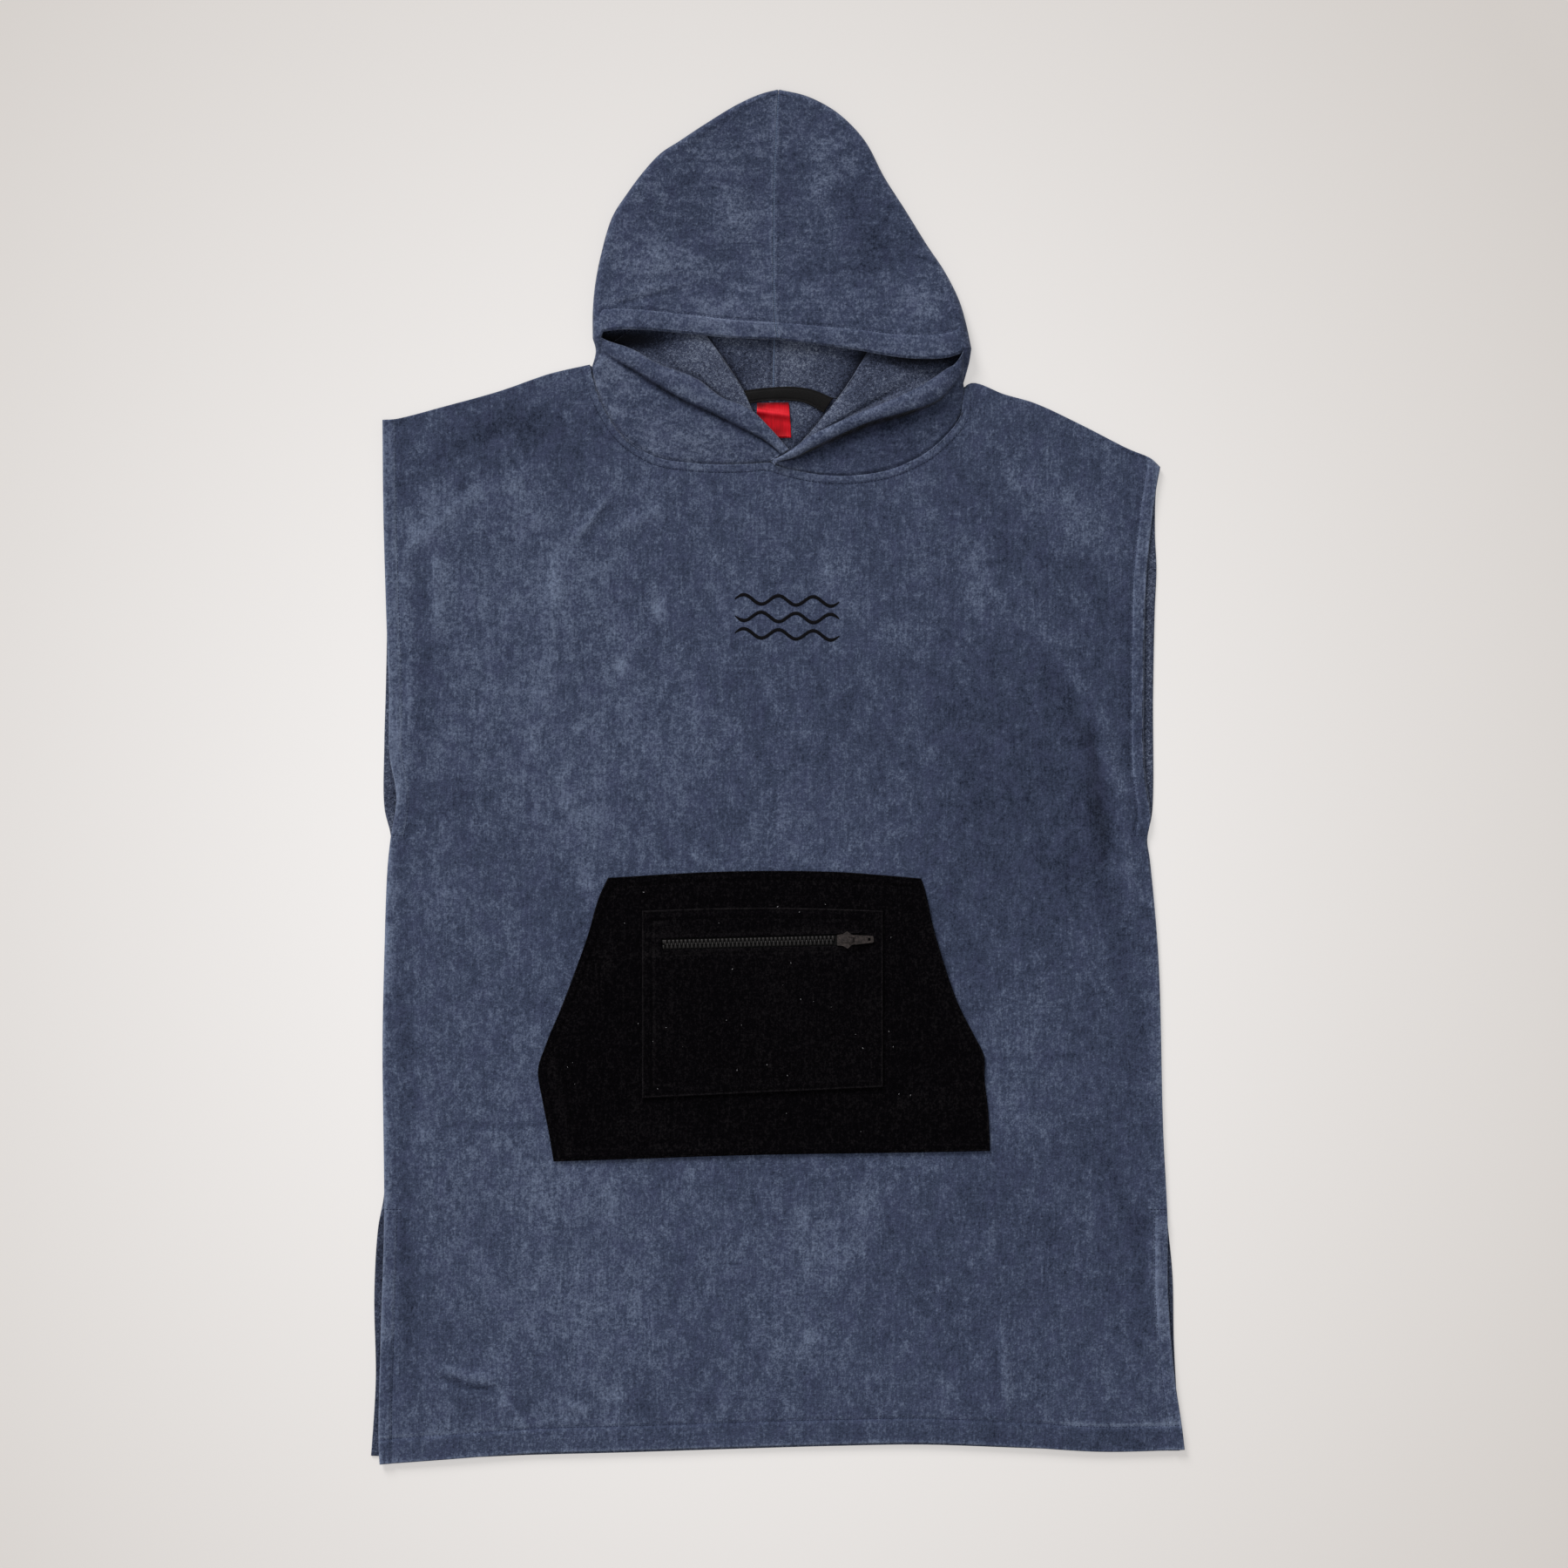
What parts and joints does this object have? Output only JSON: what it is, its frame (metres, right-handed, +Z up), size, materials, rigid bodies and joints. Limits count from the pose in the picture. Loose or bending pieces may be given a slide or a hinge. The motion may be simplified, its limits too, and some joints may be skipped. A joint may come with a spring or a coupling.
{
  "type": "hooded bath poncho",
  "caption": "Hooded towelling bath poncho laid flat, with open sides, a kangaroo pocket and a zip pocket whose pull tab swings.",
  "frame": {"origin": "on the floor under the middle of the garment's bounding box", "axes": "+X to the right for someone looking down at the front, +Y from the hem to the hood's peak, +Z up from the floor"},
  "size_m": [0.7663, 1.2945, 0.0181],
  "materials": {
    "blue_towel": "cut velour terry outside, looped terry inside",
    "black_towel": "cut velour terry",
    "black_tape": "woven herringbone tape",
    "red_label": "woven satin",
    "zip_teeth": "moulded",
    "zip_metal": "satin enamel"
  },
  "bodies": {
    "garment": {"back": "blue_towel", "front": "blue_towel", "hood_left": "blue_towel", "hood_right": "blue_towel", "pocket": "black_towel", "zip_pocket": "black_towel", "zip_chain": "zip_teeth", "zip_slider": "zip_metal", "neck_tape": "black_tape", "label": "red_label"},
    "pull": {"zip_pull": "zip_metal"}
  },
  "joints": [
    {"name": "pull_swing", "type": "hinge", "parent": "garment", "child": "pull", "pos_m": [0.06854, -0.15289, 0.0136], "axis": [0.025, -0.9997, 0], "range_deg": [0, 185]}
  ]
}
